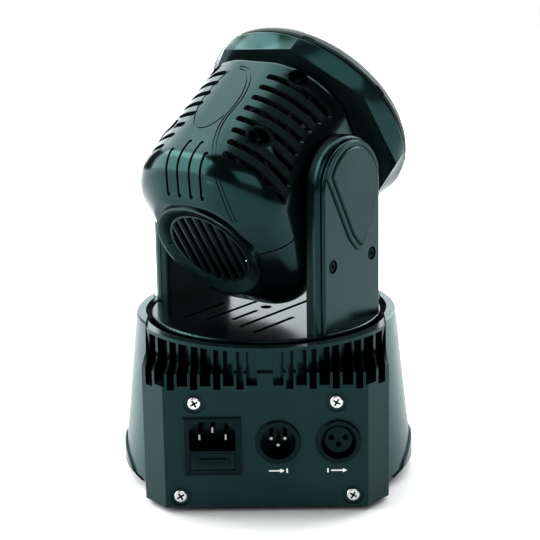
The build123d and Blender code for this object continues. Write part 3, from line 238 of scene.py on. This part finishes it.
slot_of = {sub["node"]: sub["material_slot"] for sub in frame["record"]["subparts"]}
for node, obj in frame["nodes"].items():
    slot = slot_of[node]
    obj.data.materials.clear()
    obj.data.materials.append(OWN.get(node, SLOTS[slot]))
    width = EDGE_R.get(slot, PLAIN_EDGE_R)
    if width:
        soft = obj.modifiers.new("edges", "BEVEL")
        soft.width = width / MM
        soft.segments = 2
        soft.limit_method = "ANGLE"
        soft.angle_limit = EDGE_ANGLE
        soft.harden_normals = False

# ---------------------------------------------------------------- printed signal marks, in mm
PANEL_Y = 76.1           # outer face of the rear panel
INK_T = 0.12
INK = surface("ink", (0.8, 0.82, 0.81), (0.92, 0.93, 0.92), (0.5, 0.62), grain=1500)
ARROW = [(-5.2, -0.4), (1.0, -0.4), (1.0, -1.25), (3.4, 0.0), (1.0, 1.25), (1.0, 0.4), (-5.2, 0.4)]
STOP = [(4.2, -1.25), (5.1, -1.25), (5.1, 1.25), (4.2, 1.25)]
MARK_Z = 23.4            # height of both marks
IN_X = -6.4              # middles of the data sockets
OUT_X = -38.5
OUT_ARROW = 1.2          # shift of the arrow, and of the bar to its tail, where the signal leaves
OUT_STOP = -10.4


def moved(outline, along):
    return [(across + along, height) for across, height in outline]


def printed(name, outlines, x):
    """Raised ink on the rear panel. Outlines run from left to right as seen from behind."""
    mesh = bpy.data.meshes.new(name)
    work = bmesh.new()
    for outline in outlines:
        face = work.faces.new([work.verts.new(((x - across) / MM, PANEL_Y / MM,
                                               (MARK_Z + height) / MM))
                               for across, height in outline])
        for made in bmesh.ops.extrude_face_region(work, geom=[face])["geom"]:
            if isinstance(made, bmesh.types.BMVert):
                made.co.y += INK_T / MM
    bmesh.ops.recalc_face_normals(work, faces=work.faces)
    work.to_mesh(mesh)
    work.free()
    mesh.materials.append(INK)
    piece = bpy.data.objects.new(name, mesh)
    bpy.context.collection.objects.link(piece)
    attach(piece, "base")


printed("signal_in_mark", [ARROW, STOP], IN_X)
printed("signal_out_mark", [moved(ARROW, OUT_ARROW), moved(STOP, OUT_STOP)], OUT_X)

# ---------------------------------------------------------------- camera
AIM = Vector((0, 0, 0.130))
DISTANCE = 0.850
ELEVATION = math.radians(13.6)
AZIMUTH = math.radians(1.0)
ROLL = math.radians(-1.0)

back = Vector((-math.sin(AZIMUTH) * math.cos(ELEVATION), math.cos(AZIMUTH) * math.cos(ELEVATION),
               math.sin(ELEVATION)))
level_right = (-back).cross(Vector((0, 0, 1))).normalized()
level_up = level_right.cross(-back)
right = math.cos(ROLL) * level_right + math.sin(ROLL) * level_up
up = math.cos(ROLL) * level_up - math.sin(ROLL) * level_right
turn = Matrix((right, up, back)).transposed()
view = bpy.data.cameras.new("camera")
view.sensor_width = 36
view.lens = 100.26
view.shift_x = 0.0093
view.shift_y = -0.0504
view.clip_end = 20
camera = bpy.data.objects.new("camera", view)
camera.matrix_world = Matrix.Translation(AIM + DISTANCE * back) @ turn.to_4x4()
bpy.context.collection.objects.link(camera)
bpy.context.scene.camera = camera

# ---------------------------------------------------------------- floor and light
bpy.ops.mesh.primitive_plane_add(size=5, location=(0, 0, 0))
floor = bpy.context.object
floor.name = "floor"
floor.data.materials.append(surface("floor", (0.93, 0.935, 0.935), (0.95, 0.952, 0.95),
                                    (0.7, 0.8), grain=400, depth=0.01, patch=2))

look = bpy.context.scene.view_settings
look.view_transform = "Standard"
look.gamma = 0.74

# a dim sky lights the object, and behind it the camera sees plain white
world = bpy.data.worlds.new("studio")
bpy.context.scene.world = world
world.use_nodes = True
studio = world.node_tree
sky = studio.nodes["Background"]
sky.inputs["Color"].default_value = (0.93, 0.98, 1.0, 1)
sky.inputs["Strength"].default_value = 0.08
wall = studio.nodes.new("ShaderNodeBackground")
wall.inputs["Color"].default_value = (1, 1, 1, 1)
seen = studio.nodes.new("ShaderNodeLightPath").outputs["Is Camera Ray"]
either = studio.nodes.new("ShaderNodeMixShader")
studio.links.new(seen, either.inputs["Fac"])
studio.links.new(sky.outputs["Background"], either.inputs[1])
studio.links.new(wall.outputs["Background"], either.inputs[2])
studio.links.new(either.outputs["Shader"], studio.nodes["World Output"].inputs["Surface"])


def softbox(name, place, aim, size, glow):
    """Area light whose face has the brightness glow; all lengths in metres."""
    data = bpy.data.lights.new(name, "AREA")
    data.shape = "RECTANGLE"
    data.size, data.size_y = size
    data.energy = glow * math.pi * size[0] * size[1]
    obj = bpy.data.objects.new(name, data)
    obj.location = place
    obj.rotation_euler = (Vector(place) - Vector(aim)).to_track_quat("Z", "Y").to_euler()
    bpy.context.collection.objects.link(obj)


softbox("top", (0, -2.6, 3.0), (0, -2.6, 0), (8.0, 5.0), 3.2)
softbox("left", (2.0, 0.1, 1.05), (0, 0, 0.15), (2.2, 2.2), 5.0)
softbox("right", (-1.8, -1.5, 0.9), (0, 0, 0.12), (1.6, 1.8), 3.8)
softbox("rear", (0, -3.6, 1.1), (0, 0, 0.4), (5.0, 2.2), 2.5)
softbox("fill", (-0.7, 1.9, 1.45), (0, 0, 0.15), (2.2, 1.2), 2.2)
softbox("front", (-0.4, 2.6, 0.45), (0, 0, 0.12), (2.6, 0.9), 0.3)

bpy.context.view_layer.update()
